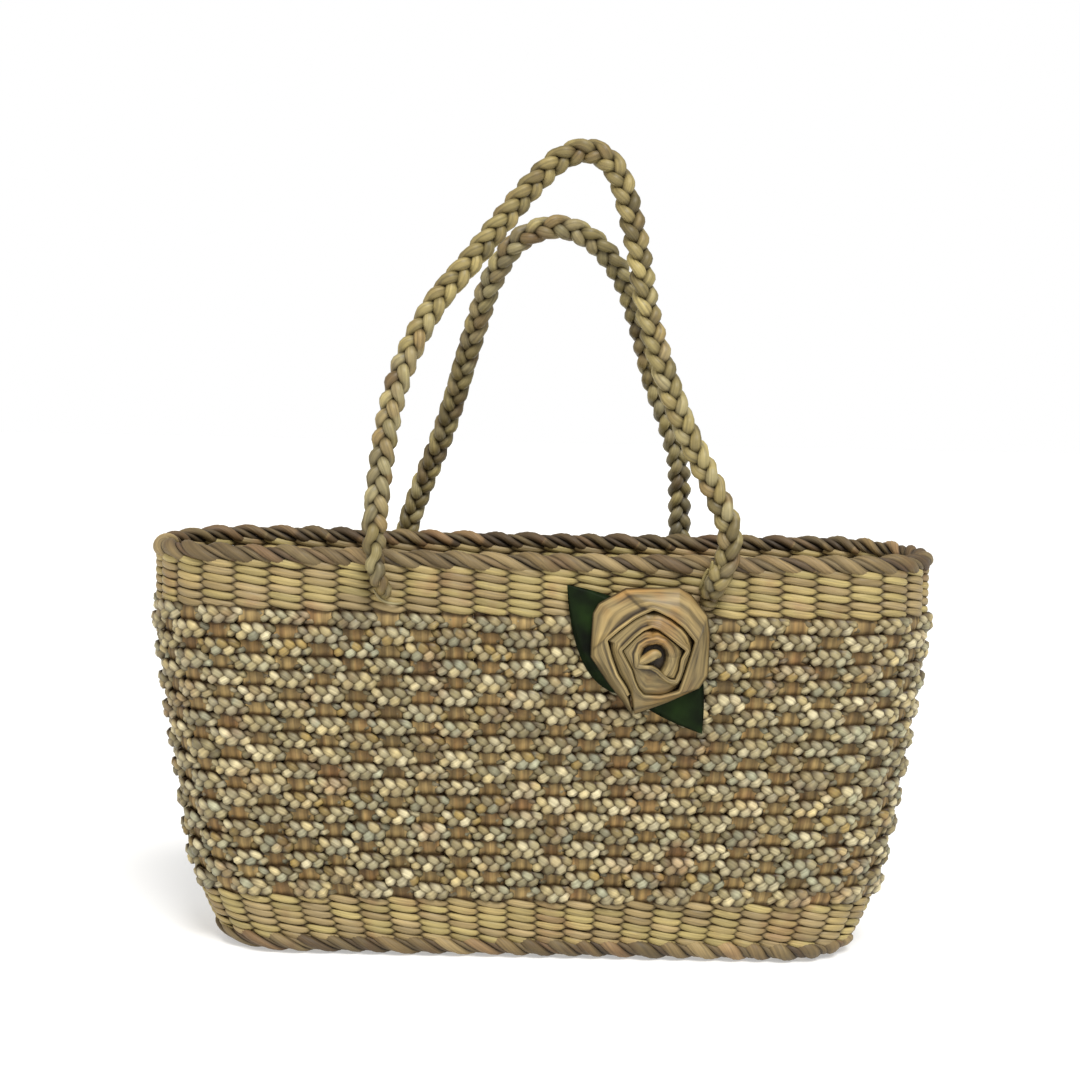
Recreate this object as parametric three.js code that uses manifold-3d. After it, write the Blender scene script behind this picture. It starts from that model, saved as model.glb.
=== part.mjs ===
// A woven straw basket bag: an open tote that widens upwards, with two braided handles and a
// ribbon rose on its front wall. Millimetres, +Z up, X along the mouth, the front wall on -Y.
// The origin is the middle of the flat underside.
import * as THREE from "three";
import { mergeVertices } from "three/addons/utils/BufferGeometryUtils.js";
import Module from "manifold-3d";

const wasm = await Module();
wasm.setup();

// Driving dimensions of the body. Length and depth run between the planes of the stakes.
const mouthLength = 434;
const mouthDepth = 117;
const wallBow = 3;
const rimSag = 3.5;
const endDroop = 3;
const droopCurve = 8;
const stakeCount = 54;
const pieceGap = 0.3;

// The courses of the wall, from the floor up
const footDiameter = 12.5;
const lowerRows = 5;
const lowerRowPitch = 4.3;
const braidRows = 19;
const braidRowPitch = 8.6;
const upperRows = 5;
const upperRowPitch = 4.55;
const rimDiameter = 13;

// How far each kind of weave stands out from the plane of the stakes
const bandCrest = 3.7;
const bandGroove = 2.6;
const braidCrest = 6.5;
const braidGroove = 2.4;
const stakePatch = 3.6;
const wallInside = 4;

const baseThickness = 5.5;
const borderStrands = 3;
const borderValley = 0.84;

// The handles
const handleDiameter = 13.8;
const handleEndDiameter = 8.6;
const handleHalfSpan = 86;
const frontRise = 240.5;
const backRise = 202;
const handleApexFront = 50;
const handleApexBack = 0;
const leanFrom = 0.13;
const leanCurve = 1.25;
const tuckInside = 13;
const tuckAboveBraid = 10;
const tuckLength = 26;

// The rose and its leaves
const roseAcross = 62;
const roseHeight = 171.8;
const roseCore = 9.6;
const roseTurnStep = 8;
const roseTurns = 3;
const roseHeartHeight = 17;
const roseRimHeight = 9;
const rosePocket = 4.5;
const leafLength = 78;
const leafWidth = 46;
const leafThickness = 0.8;
const roseRadius = roseCore + roseTurns * roseTurnStep;

// Height shares of the wall against shares of the mouth's length, depth and depth for the corners
const wallSections = [
  { height: 0.0, length: 0.797, depth: 0.8, corner: 0.62, bow: 0 },
  { height: 0.05, length: 0.838, depth: 0.83, corner: 0.66, bow: 0.15 },
  { height: 0.14, length: 0.88, depth: 0.87, corner: 0.71, bow: 0.4 },
  { height: 0.26, length: 0.911, depth: 0.91, corner: 0.76, bow: 0.7 },
  { height: 0.45, length: 0.943, depth: 0.95, corner: 0.81, bow: 0.9 },
  { height: 0.65, length: 0.977, depth: 0.985, corner: 0.86, bow: 1 },
  { height: 0.82, length: 0.998, depth: 1, corner: 0.89, bow: 1 },
  { height: 1.0, length: 1, depth: 1, corner: 0.9, bow: 1 },
];

// Outside course of each handle, left to right: shares of the half span and of the rise above
// the holes
const frontCourse = [
  { across: -1.045, up: 0.045 },
  { across: -1.062, up: 0.13 },
  { across: -1.048, up: 0.21 },
  { across: -0.998, up: 0.365 },
  { across: -0.93, up: 0.477 },
  { across: -0.832, up: 0.566 },
  { across: -0.696, up: 0.656 },
  { across: -0.494, up: 0.745 },
  { across: -0.095, up: 0.927 },
  { across: 0.059, up: 0.979 },
  { across: 0.216, up: 1 },
  { across: 0.343, up: 0.984 },
  { across: 0.433, up: 0.942 },
  { across: 0.547, up: 0.799 },
  { across: 0.648, up: 0.61 },
  { across: 0.857, up: 0.396 },
  { across: 1.095, up: 0.224 },
  { across: 1.165, up: 0.158 },
  { across: 1.158, up: 0.095 },
  { across: 1.087, up: 0.042 },
];
const backCourse = [
  { across: -0.975, up: 0.05 },
  { across: -0.96, up: 0.115 },
  { across: -0.846, up: 0.257 },
  { across: -0.733, up: 0.379 },
  { across: -0.638, up: 0.499 },
  { across: -0.558, up: 0.616 },
  { across: -0.476, up: 0.731 },
  { across: -0.376, up: 0.852 },
  { across: -0.204, up: 0.96 },
  { across: 0.04, up: 1 },
  { across: 0.272, up: 0.97 },
  { across: 0.488, up: 0.871 },
  { across: 0.617, up: 0.741 },
  { across: 0.739, up: 0.569 },
  { across: 0.85, up: 0.452 },
  { across: 0.937, up: 0.332 },
  { across: 0.961, up: 0.211 },
  { across: 0.97, up: 0.115 },
  { across: 0.98, up: 0.05 },
];

// Leaves, rearmost first: where the tip lies from the rose's heart, as shares of its radius, and
// which way it points, in degrees
const leaves = [
  { name: "leaf_upper", across: -1.446, up: 1.256, angle: 132 },
  { name: "leaf_lower", across: 0.804, up: -1.155, angle: -56.5 },
];

// Outline of the rose about its heart: degrees against shares of its mean radius
const roseOutline = [
  { angle: 0, radius: 0.87 },
  { angle: 40, radius: 1.07 },
  { angle: 76, radius: 1.25 },
  { angle: 120, radius: 1.32 },
  { angle: 145, radius: 1.25 },
  { angle: 178, radius: 1.03 },
  { angle: 215, radius: 0.87 },
  { angle: 250, radius: 0.94 },
  { angle: 304, radius: 0.79 },
  { angle: 335, radius: 0.88 },
  { angle: 360, radius: 0.87 },
];

// Facets of the handles
const handleSteps = 48;
const handleSides = 8;

// Levels of the stacked courses
const lowerBottom = footDiameter + pieceGap;
const lowerTop = lowerBottom + lowerRows * lowerRowPitch;
const braidBottom = lowerTop + pieceGap;
const braidTop = braidBottom + braidRows * braidRowPitch;
const upperBottom = braidTop + pieceGap;
const upperTop = upperBottom + upperRows * upperRowPitch;
const rimMiddle = upperTop + pieceGap + rimDiameter / 2;
const rimTop = rimMiddle + rimDiameter / 2;

// Smooth reading of a table's column, by a cubic through its rows
function readTable(rows, key, column, at) {
  let i = rows.findIndex((row) => row[key] > at) - 1;
  if (i < 0) i = at < rows[0][key] ? 0 : rows.length - 2;
  const slope = (j) => {
    const before = rows[Math.max(j - 1, 0)];
    const after = rows[Math.min(j + 1, rows.length - 1)];
    return (after[column] - before[column]) / (after[key] - before[key]);
  };
  const step = rows[i + 1][key] - rows[i][key];
  const t = THREE.MathUtils.clamp((at - rows[i][key]) / step, 0, 1);
  const rise = rows[i + 1][column] - rows[i][column];
  const leave = slope(i) * step;
  const arrive = slope(i + 1) * step;
  return (
    rows[i][column] +
    leave * t +
    (3 * rise - 2 * leave - arrive) * t * t +
    (leave + arrive - 2 * rise) * t * t * t
  );
}

// Rounded rectangle through the stakes at a level: half lengths, corner radius and bow
function sectionAt(level) {
  const share = level / rimTop;
  const read = (column) => readTable(wallSections, "height", column, share);
  return {
    share,
    halfLength: (read("length") * mouthLength) / 2,
    halfDepth: (read("depth") * mouthDepth) / 2,
    corner: (read("corner") * mouthDepth) / 2,
    bow: read("bow") * wallBow,
  };
}

// Straight halves and quarter arc of a rounded rectangle
function sidesOf({ halfLength, halfDepth, corner }) {
  return {
    longSide: halfLength - corner,
    endSide: halfDepth - corner,
    arc: (corner * Math.PI) / 2,
  };
}

// Point and outward normal on a rounded rectangle, at a share of its length round from the
// middle of the front, going to +X
function outlineAt(section, around) {
  const { halfLength, halfDepth, corner } = section;
  const { longSide, endSide, arc } = sidesOf(section);
  const quarters = [longSide, arc, 2 * endSide, arc, 2 * longSide, arc, 2 * endSide, arc, longSide];
  const total = quarters.reduce((sum, length) => sum + length, 0);
  let run = THREE.MathUtils.euclideanModulo(around, 1) * total;
  let leg = 0;
  while (leg < 8 && run > quarters[leg]) run -= quarters[leg++];
  const onArc = (x, y, start) => {
    const angle = start + run / corner;
    const nx = Math.cos(angle);
    const ny = Math.sin(angle);
    return { x: x + corner * nx, y: y + corner * ny, nx, ny };
  };
  const right = Math.PI / 2;
  const legs = [
    () => ({ x: run, y: -halfDepth, nx: 0, ny: -1 }),
    () => onArc(longSide, -endSide, -right),
    () => ({ x: halfLength, y: run - endSide, nx: 1, ny: 0 }),
    () => onArc(longSide, endSide, 0),
    () => ({ x: longSide - run, y: halfDepth, nx: 0, ny: 1 }),
    () => onArc(-longSide, endSide, right),
    () => ({ x: -halfLength, y: endSide - run, nx: -1, ny: 0 }),
    () => onArc(-longSide, -endSide, 2 * right),
    () => ({ x: run - longSide, y: -halfDepth, nx: 0, ny: -1 }),
  ];
  return legs[leg]();
}

// Point of the wall: a level, a share of the way round, and an offset outwards from the stakes.
// Towards the mouth the long walls sag in their middle and the ends droop
function wallPoint(level, around, offset = 0) {
  const section = sectionAt(level);
  const { x, y, nx, ny } = outlineAt(section, around);
  const along = Math.abs(x) / section.halfLength;
  const middle = 1 - along ** 2;
  const lowered = rimSag * middle + endDroop * along ** droopCurve;
  return new THREE.Vector3(
    x + nx * offset,
    y + ny * (offset + section.bow * middle),
    level - lowered * section.share ** 2,
  );
}

// Shares of the way round with more steps in the corners than along the walls
function cornerStations(cornerSteps, longSteps, endSteps) {
  const { longSide, endSide, arc } = sidesOf(sectionAt(rimTop));
  const total = 4 * (longSide + endSide + arc);
  const stations = [];
  let from = -longSide / total;
  for (const [length, steps] of [
    [2 * longSide, longSteps],
    [arc, cornerSteps],
    [2 * endSide, endSteps],
    [arc, cornerSteps],
    [2 * longSide, longSteps],
    [arc, cornerSteps],
    [2 * endSide, endSteps],
    [arc, cornerSteps],
  ]) {
    for (let step = 0; step < steps; step++)
      stations.push(from + (length * step) / steps / total);
    from += length / total;
  }
  return stations;
}

function geometryOf(points, triangles) {
  const geometry = new THREE.BufferGeometry().setFromPoints(points);
  geometry.setIndex(triangles);
  return geometry;
}

// Closed surface over a grid that wraps both ways: pointAt(i, j), i round the bag. Each cell is
// split along the diagonal that isHub asks for, so that raised points keep all their edges
function ringGeometry(around, across, pointAt, isHub = () => false) {
  const points = [];
  const triangles = [];
  for (let i = 0; i < around; i++)
    for (let j = 0; j < across; j++) {
      points.push(pointAt(i, j));
      const [a, b] = [i, (i + 1) % around].map((row) => row * across + j);
      const [c, d] = [i, (i + 1) % around].map((row) => row * across + ((j + 1) % across));
      if (isHub(i, j) || isHub(i + 1, j + 1)) triangles.push(a, b, d, a, d, c);
      else triangles.push(a, b, c, b, d, c);
    }
  return geometryOf(points, triangles);
}

// Wall course: a closed profile of { level, offset } carried round the stations
function courseGeometry(stations, profileAt, isHub) {
  const pointAt = (i, j) => {
    const { level, offset } = profileAt(i)[j];
    return wallPoint(level, stations[i], offset);
  };
  return ringGeometry(stations.length, profileAt(0).length, pointAt, isHub);
}

// Outer face of a course: a groove below and above each row and a crest at its middle
function ribbedProfile(bottom, rows, pitch, groove, crestAt) {
  const profile = [{ level: bottom, offset: groove }];
  for (let row = 0; row < rows; row++) {
    profile.push({ level: bottom + (row + 0.5) * pitch, offset: crestAt(row) });
    profile.push({ level: bottom + (row + 1) * pitch, offset: groove });
  }
  return profile;
}

function insideProfile(bottom, top, steps) {
  return Array.from({ length: steps + 1 }, (_, step) => ({
    level: THREE.MathUtils.lerp(top, bottom, step / steps),
    offset: -wallInside,
  }));
}

// Twined band: rows of paired weft round every stake
function bandGeometry(bottom, rows, pitch) {
  const profile = [
    ...ribbedProfile(bottom, rows, pitch, bandGroove, () => bandCrest),
    ...insideProfile(bottom, bottom + rows * pitch, 1),
  ];
  return courseGeometry(cornerStations(4, 6, 2), () => profile);
}

// Braid wall: in each row the braid passes over one stake and behind the next, so humps of braid
// and patches of stake make a checkerboard
function braidWallGeometry() {
  const stations = Array.from({ length: stakeCount }, (_, stake) => (stake - 0.5) / stakeCount);
  const isCrest = (stake, row) => (row + stake) % 2 === 1;
  const profileAt = (stake) => [
    ...ribbedProfile(braidBottom, braidRows, braidRowPitch, braidGroove, (row) =>
      isCrest(stake, row) ? braidCrest : stakePatch,
    ),
    ...insideProfile(braidBottom, braidTop, 3),
  ];
  const isHub = (stake, j) => j % 2 === 1 && isCrest(stake % stakeCount, (j - 1) / 2);
  return courseGeometry(stations, profileAt, isHub);
}

// Border: strands twisted into a rope that runs once round the wall, falling to the right
function borderGeometry(level, diameter, stepsPerTurn) {
  const turns = Math.round(stakeCount / borderStrands);
  const around = turns * stepsPerTurn;
  const across = 2 * borderStrands;
  return ringGeometry(around, across, (i, j) => {
    const radius = (diameter / 2) * (j % 2 ? borderValley : 1);
    const angle = (2 * Math.PI * j) / across - (2 * Math.PI * i) / stepsPerTurn;
    const point = wallPoint(level, i / around, radius * Math.cos(angle));
    point.z += radius * Math.sin(angle);
    return point;
  });
}

// Bottom: a flat mat that fills the foot border
function baseGeometry() {
  const inset = -(footDiameter / 2 + pieceGap);
  const outline = cornerStations(5, 6, 2).map((around) => {
    const point = wallPoint(footDiameter / 2, around, inset);
    return new THREE.Vector2(point.x, point.y);
  });
  return new THREE.ExtrudeGeometry(new THREE.Shape(outline), {
    depth: baseThickness,
    bevelEnabled: false,
  });
}

// Course of a handle: from inside the wall, out through its hole, up and over, and back in. It
// stands upright beside the rim, then leans towards its apex
function handleCurve(side, course, rise, apex) {
  const holeLevel = upperBottom + tuckAboveBraid;
  const { halfDepth, bow } = sectionAt(rimMiddle);
  const outside = halfDepth + bow + rimDiameter / 2 + pieceGap + handleDiameter / 2;
  const tuck = (end) => [
    new THREE.Vector3(end * handleHalfSpan, side * (halfDepth - tuckInside), holeLevel),
    new THREE.Vector3(end * handleHalfSpan, side * (halfDepth + bow), holeLevel),
    new THREE.Vector3(end * handleHalfSpan, side * (outside - handleDiameter / 2), holeLevel + 1),
  ];
  const middle = course.map(({ across, up }) => {
    const lean = Math.max((up - leanFrom) / (1 - leanFrom), 0) ** leanCurve;
    return new THREE.Vector3(
      across * handleHalfSpan,
      side * THREE.MathUtils.lerp(outside, apex, lean),
      holeLevel + up * rise,
    );
  });
  return new THREE.CatmullRomCurve3([...tuck(-1), ...middle, ...tuck(1).reverse()]);
}

// Round rod along a curve, thinner where its ends tuck in, with flat ends
function rodGeometry(curve, steps, sides, extra = 0) {
  const frames = curve.computeFrenetFrames(steps, false);
  const length = curve.getLength();
  const points = [];
  const triangles = [];
  for (let i = 0; i <= steps; i++) {
    const fromEnd = Math.min(i, steps - i) * (length / steps);
    const thicken = THREE.MathUtils.smoothstep(fromEnd, tuckLength / 2, tuckLength * 1.5);
    const radius = THREE.MathUtils.lerp(handleEndDiameter, handleDiameter, thicken) / 2 + extra;
    const centre = curve.getPointAt(i / steps);
    for (let j = 0; j < sides; j++) {
      const angle = (2 * Math.PI * j) / sides;
      points.push(
        centre
          .clone()
          .addScaledVector(frames.normals[i], radius * Math.cos(angle))
          .addScaledVector(frames.binormals[i], radius * Math.sin(angle)),
      );
      if (i === steps) continue;
      const [a, b] = [i * sides + j, i * sides + ((j + 1) % sides)];
      triangles.push(a, b, b + sides, a, b + sides, a + sides);
    }
  }
  for (let j = 1; j < sides - 1; j++) {
    triangles.push(0, j + 1, j);
    const last = steps * sides;
    triangles.push(last, last + j, last + j + 1);
  }
  return geometryOf(points, triangles);
}

function solidOf(geometry) {
  const bare = geometry.clone();
  bare.deleteAttribute("normal");
  bare.deleteAttribute("uv");
  const merged = mergeVertices(bare, 1e-4);
  return new wasm.Manifold(
    new wasm.Mesh({
      numProp: 3,
      vertProperties: new Float32Array(merged.attributes.position.array),
      triVerts: new Uint32Array(merged.index.array),
    }),
  );
}

function geometryFrom(solid) {
  const { vertProperties, triVerts } = solid.getMesh();
  const geometry = new THREE.BufferGeometry();
  geometry.setAttribute("position", new THREE.BufferAttribute(vertProperties, 3));
  geometry.setIndex(new THREE.BufferAttribute(triVerts, 1));
  return geometry;
}

// Upper band with the four holes that the handle ends pass through
function upperBandGeometry(handleCurves) {
  let band = solidOf(bandGeometry(upperBottom, upperRows, upperRowPitch));
  for (const curve of handleCurves)
    band = band.subtract(solidOf(rodGeometry(curve, handleSteps, handleSides, pieceGap)));
  return geometryFrom(band);
}

// Rose: one folded ribbon wound in a spiral. Each turn rises steeply from a pocket to its folded
// edge and slopes down outwards to the pocket of the next turn
function roseGeometry() {
  const perTurn = 30;
  const lines = [
    { out: 0, drop: 1 },
    { out: 0.16, drop: 0 },
    { out: 0.6, drop: 0.3 },
  ];
  const last = roseTurns * lines.length;
  const points = [];
  const triangles = [];
  for (let i = 0; i < perTurn; i++)
    for (let j = 0; j <= last; j++) {
      const { out, drop } = lines[j % lines.length];
      const wound = Math.floor(j / lines.length) + out + i / perTurn;
      const share = Math.min(wound / roseTurns, 1);
      const spread = readTable(roseOutline, "angle", "radius", (360 * i) / perTurn);
      const reach = THREE.MathUtils.lerp(roseCore, roseRadius, share);
      const radius = reach * THREE.MathUtils.lerp(1, spread, share);
      const crown = THREE.MathUtils.lerp(roseHeartHeight, roseRimHeight, share);
      const height = j === last ? roseRimHeight / 2 : crown - drop * rosePocket;
      const angle = (2 * Math.PI * i) / perTurn;
      points.push(new THREE.Vector3(radius * Math.cos(angle), radius * Math.sin(angle), height));
    }
  const index = (i, j) => (i === perTurn ? j + lines.length : i * (last + 1) + j);
  const quad = (a, b, c, d) => triangles.push(a, b, c, a, c, d);
  const inner = [];
  const outer = [];
  for (let i = 0; i < perTurn; i++) {
    const rows = i === perTurn - 1 ? last - lines.length : last;
    for (let j = 0; j < rows; j++)
      quad(index(i, j), index(i, j + 1), index(i + 1, j + 1), index(i + 1, j));
    inner.push(index(i, 0));
    outer.push(index(i, last));
  }
  for (let j = lines.length; j > 0; j--) inner.push(index(0, j));
  for (let j = last - 1; j >= last - lines.length; j--) outer.push(index(perTurn - 1, j));
  const heart = points.push(new THREE.Vector3(0, 0, roseHeartHeight - rosePocket / 2)) - 1;
  inner.forEach((a, k) => triangles.push(heart, a, inner[(k + 1) % inner.length]));
  const back = outer.map((a) => points.push(points[a].clone().setZ(0)) - 1);
  const middle = points.push(new THREE.Vector3(0, 0, 0)) - 1;
  outer.forEach((a, k) => {
    const next = (k + 1) % outer.length;
    quad(a, back[k], back[next], outer[next]);
    triangles.push(middle, back[next], back[k]);
  });
  return geometryOf(points, triangles);
}

// Leaf: a thin blade along +X with its tip away from the origin
function leafGeometry() {
  const shoulder = leafLength / 4;
  const blade = new THREE.Shape();
  blade.moveTo(0, 0);
  blade.quadraticCurveTo(shoulder, -leafWidth, leafLength, 0);
  blade.quadraticCurveTo(shoulder, leafWidth, 0, 0);
  return new THREE.ExtrudeGeometry(blade, {
    depth: leafThickness,
    bevelEnabled: false,
    curveSegments: 8,
  });
}

const straw = { color: 0xb09a62, roughness: 0.72, metalness: 0 };
const darkStraw = { color: 0x8c7a52, roughness: 0.75, metalness: 0 };
const ribbon = { color: 0xb59c68, roughness: 0.65, metalness: 0 };
const greenCloth = { color: 0x1f3a22, roughness: 0.6, metalness: 0 };

function piece(name, geometry, finish) {
  const mesh = new THREE.Mesh(geometry, new THREE.MeshStandardMaterial(finish));
  mesh.name = name;
  return mesh;
}

const frontCurve = handleCurve(-1, frontCourse, frontRise, handleApexFront);
const backCurve = handleCurve(1, backCourse, backRise, handleApexBack);

// The rose and leaves lie against the humps of the front wall, in a group whose +Z points out
function flower() {
  const group = new THREE.Group();
  const section = sectionAt(roseHeight);
  const middle = 1 - (roseAcross / section.halfLength) ** 2;
  const turnOut = Math.atan((2 * section.bow * roseAcross) / section.halfLength ** 2);
  const above = sectionAt(roseHeight + leafWidth / 2).halfDepth;
  const below = sectionAt(roseHeight - leafWidth / 2).halfDepth;
  const leanOut = Math.atan((above - below) / leafWidth);
  group.position.set(roseAcross, -(section.halfDepth + section.bow * middle + braidCrest), roseHeight);
  group.rotation.set(Math.PI / 2 + leanOut, 0, 0);
  group.rotateY(turnOut);
  const layerPitch = leafThickness + pieceGap;
  leaves.forEach(({ name, across, up, angle }, layer) => {
    const leaf = piece(name, leafGeometry(), greenCloth);
    const direction = THREE.MathUtils.degToRad(angle);
    leaf.rotation.z = direction;
    leaf.position.set(
      across * roseRadius - leafLength * Math.cos(direction),
      up * roseRadius - leafLength * Math.sin(direction),
      pieceGap + layer * layerPitch,
    );
    group.add(leaf);
  });
  const rose = piece("rose", roseGeometry(), ribbon);
  rose.position.z = pieceGap + leaves.length * layerPitch;
  group.add(rose);
  return group;
}

const bag = new THREE.Group();
bag.add(
  piece("base_mat", baseGeometry(), straw),
  piece("foot_border", borderGeometry(footDiameter / 2, footDiameter, 5), darkStraw),
  piece("lower_band", bandGeometry(lowerBottom, lowerRows, lowerRowPitch), straw),
  piece("braid_wall", braidWallGeometry(), straw),
  piece("upper_band", upperBandGeometry([frontCurve, backCurve]), straw),
  piece("rim_border", borderGeometry(rimMiddle, rimDiameter, 7), darkStraw),
  piece("handle_front", rodGeometry(frontCurve, handleSteps, handleSides), straw),
  piece("handle_back", rodGeometry(backCurve, handleSteps, handleSides), straw),
  flower(),
);

export default bag;
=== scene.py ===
"""Looks of the straw basket bag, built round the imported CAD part.

Lengths are worked out in millimetres, and each mesh is turned to metres where it is made.
"""

import bpy
import numpy as np
from mathutils import Matrix


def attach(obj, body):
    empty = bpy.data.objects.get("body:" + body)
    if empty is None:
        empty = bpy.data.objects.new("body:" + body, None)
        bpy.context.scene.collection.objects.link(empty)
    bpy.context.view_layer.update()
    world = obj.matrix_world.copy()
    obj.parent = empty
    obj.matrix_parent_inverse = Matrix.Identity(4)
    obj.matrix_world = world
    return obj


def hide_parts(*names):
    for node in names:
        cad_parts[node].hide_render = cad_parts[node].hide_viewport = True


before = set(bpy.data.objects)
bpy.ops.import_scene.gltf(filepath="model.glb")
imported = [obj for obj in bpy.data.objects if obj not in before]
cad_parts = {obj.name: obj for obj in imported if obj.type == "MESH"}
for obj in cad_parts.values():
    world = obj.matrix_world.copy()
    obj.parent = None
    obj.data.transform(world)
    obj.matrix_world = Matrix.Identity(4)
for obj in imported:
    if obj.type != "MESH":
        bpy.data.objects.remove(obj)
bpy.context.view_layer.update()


# Stakes. The real ones are 54 flat bundles of dried rush leaf, three leaves side by side, that stand
# all round the bag from foot to rim. Each row of the wall is woven over and under them, so a stake
# bulges out wherever a braid passes behind it.
RIM_TOP = 234.35
MOUTH_LENGTH = 434.0
MOUTH_DEPTH = 117.0
WALL_BOW = 3.0
RIM_SAG = 3.5
END_DROOP = 3.0
STAKE_COUNT = 54
BRAID_FROM = 34.6
BRAID_ROWS = 19
BRAID_PITCH = 8.6
BRAID_TOP = BRAID_FROM + BRAID_ROWS * BRAID_PITCH
STAKE_FROM = 7.0
STAKE_TO = 227.0
BUNDLE_SHARE = 0.49

# Share of the height, then shares of the mouth's length, of its depth, of its depth for the corner
# radius, and of the bow
WALL_TABLE = np.array(
    [
        [0.0, 0.797, 0.8, 0.62, 0],
        [0.05, 0.838, 0.83, 0.66, 0.15],
        [0.14, 0.88, 0.87, 0.71, 0.4],
        [0.26, 0.911, 0.91, 0.76, 0.7],
        [0.45, 0.943, 0.95, 0.81, 0.9],
        [0.65, 0.977, 0.985, 0.86, 1],
        [0.82, 0.998, 1, 0.89, 1],
        [1.0, 1, 1, 0.9, 1],
    ]
)


def cubic(start, end, leave, arrive, t):
    """Cubic from start to end while t goes from 0 to 1, with slope leave at start and arrive at end.

    It is the start, plus leave times t, plus 3 rise - 2 leave - arrive times t squared, plus leave +
    arrive - 2 rise times t cubed, where the rise is the end less the start.
    """
    rise = end - start
    return start + leave * t + (3 * rise - 2 * leave - arrive) * t**2 + (leave + arrive - 2 * rise) * t**3


def wall_section(level):
    """Half length, half depth, corner radius and bow of the wall's rounded rectangle at a level.

    Between two rows of the table each column follows a cubic, whose slope at a row is the rise from
    the row before to the row after, over their distance.
    """
    heights, columns = WALL_TABLE[:, 0], WALL_TABLE[:, 1:]
    before = np.maximum(np.arange(len(heights)) - 1, 0)
    after = np.minimum(np.arange(len(heights)) + 1, len(heights) - 1)
    slopes = (columns[after] - columns[before]) / (heights[after] - heights[before])[:, None]
    share = np.asarray(level, float) / RIM_TOP
    row = np.clip(np.searchsorted(heights, share, side="right") - 1, 0, len(heights) - 2)
    step = heights[row + 1] - heights[row]
    t = np.clip((share - heights[row]) / step, 0, 1)[..., None]
    leave = slopes[row] * step[..., None]
    arrive = slopes[row + 1] * step[..., None]
    read = cubic(columns[row], columns[row + 1], leave, arrive, t)
    length, depth, corner, bow = np.moveaxis(read, -1, 0)
    return length * MOUTH_LENGTH / 2, depth * MOUTH_DEPTH / 2, corner * MOUTH_DEPTH / 2, bow * WALL_BOW


def wall_length(level):
    """Length of the wall once round at a level: four straight sides and four quarter circles."""
    half_length, half_depth, corner, _ = wall_section(level)
    return float(4 * (half_length + half_depth - 2 * corner) + 2 * np.pi * corner)


def wall_point(level, around, offset):
    """Points of the wall at levels, shares of the way round and offsets outwards.

    A disc of the corner radius rolls its centre round an inner rectangle, from the middle of the
    front towards +X, and turns a quarter at each corner. The point is its centre plus its radius and
    the offset along the way it faces. The long walls bow out in their middle, and towards the mouth
    the middle sags and the ends droop.
    """
    half_length, half_depth, corner, bow = wall_section(level)
    long_side, end_side, arc = half_length - corner, half_depth - corner, corner * np.pi / 2
    legs = [long_side, arc, 2 * end_side, arc, 2 * long_side, arc, 2 * end_side, arc, long_side]
    run = (np.asarray(around) % 1) * sum(legs)
    gone = []
    for leg in legs:
        gone.append(np.clip(run, 0, leg))
        run = run - leg
    turned = (gone[1] + gone[3] + gone[5] + gone[7]) / corner - np.pi / 2
    x = gone[0] - gone[4] + gone[8] + corner * np.cos(turned)
    y = gone[2] - gone[6] - end_side + corner * np.sin(turned)
    along = np.abs(x) / half_length
    middle = 1 - along**2
    lowered = (RIM_SAG * middle + END_DROOP * along**8) * (np.asarray(level) / RIM_TOP) ** 2
    return np.stack(
        np.broadcast_arrays(
            x + np.cos(turned) * offset,
            y + np.sin(turned) * (offset + bow * middle),
            level - lowered,
        ),
        axis=-1,
    )


def smooth_step(value, low, high):
    """0 below low, 1 above high and 3t² - 2t³ between them."""
    t = np.clip((value - low) / (high - low), 0, 1)
    return t * t * (3 - 2 * t)


def lay_strands(name, points, looks, step, girth, endless):
    """Mesh of tubes, where points[k, i, j] is point j round ring i of strand k, in millimetres.

    Neighbouring rings are joined by four-sided faces, the last ring to the first one where the
    strand is endless, and otherwise each end is closed by one flat face. The UV map holds the way
    along and round a strand in centimetres, and looks gives the values that the straw reads.
    """
    strands, rings, sides = points.shape[:3]
    spans = rings if endless else rings - 1
    k, i, j = np.meshgrid(np.arange(strands), np.arange(spans), np.arange(sides), indexing="ij")
    corner_i = np.stack([i, i, i + 1, i + 1], axis=-1)
    corner_j = np.stack([j, j + 1, j + 1, j], axis=-1)
    quads = (k[..., None] * rings + corner_i % rings) * sides + corner_j % sides
    faces = quads.reshape(-1, 4).tolist()
    if not endless:
        first = np.arange(strands)[:, None] * rings * sides + np.arange(sides)
        faces += first[:, ::-1].tolist()
        faces += (first + (rings - 1) * sides).tolist()
    mesh = bpy.data.meshes.new(name)
    mesh.from_pydata((points.reshape(-1, 3) * 0.001).tolist(), [], faces)
    uv = np.zeros((len(mesh.loops), 2))
    uv[: quads.size, 0] = ((corner_i * step + k[..., None] * 37.0) * 0.1).ravel()
    uv[: quads.size, 1] = (corner_j * girth / sides * 0.1).ravel()
    mesh.uv_layers.new(name="straw").data.foreach_set("uv", uv.ravel())
    for look, value in looks.items():
        spread = np.broadcast_to(value, (strands, rings, sides)).ravel()
        mesh.attributes.new(look, "FLOAT", "POINT").data.foreach_set("value", spread.astype(np.float32))
    mesh.shade_smooth()
    piece = bpy.data.objects.new(name, mesh)
    bpy.context.scene.collection.objects.link(piece)
    return piece


def linear(colour):
    """An sRGB hex colour as linear red, green, blue and alpha."""
    shares = np.array([int(colour[at : at + 2], 16) for at in (1, 3, 5)]) / 255
    return (*np.where(shares <= 0.04045, shares / 12.92, ((shares + 0.055) / 1.055) ** 2.4), 1.0)


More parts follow.
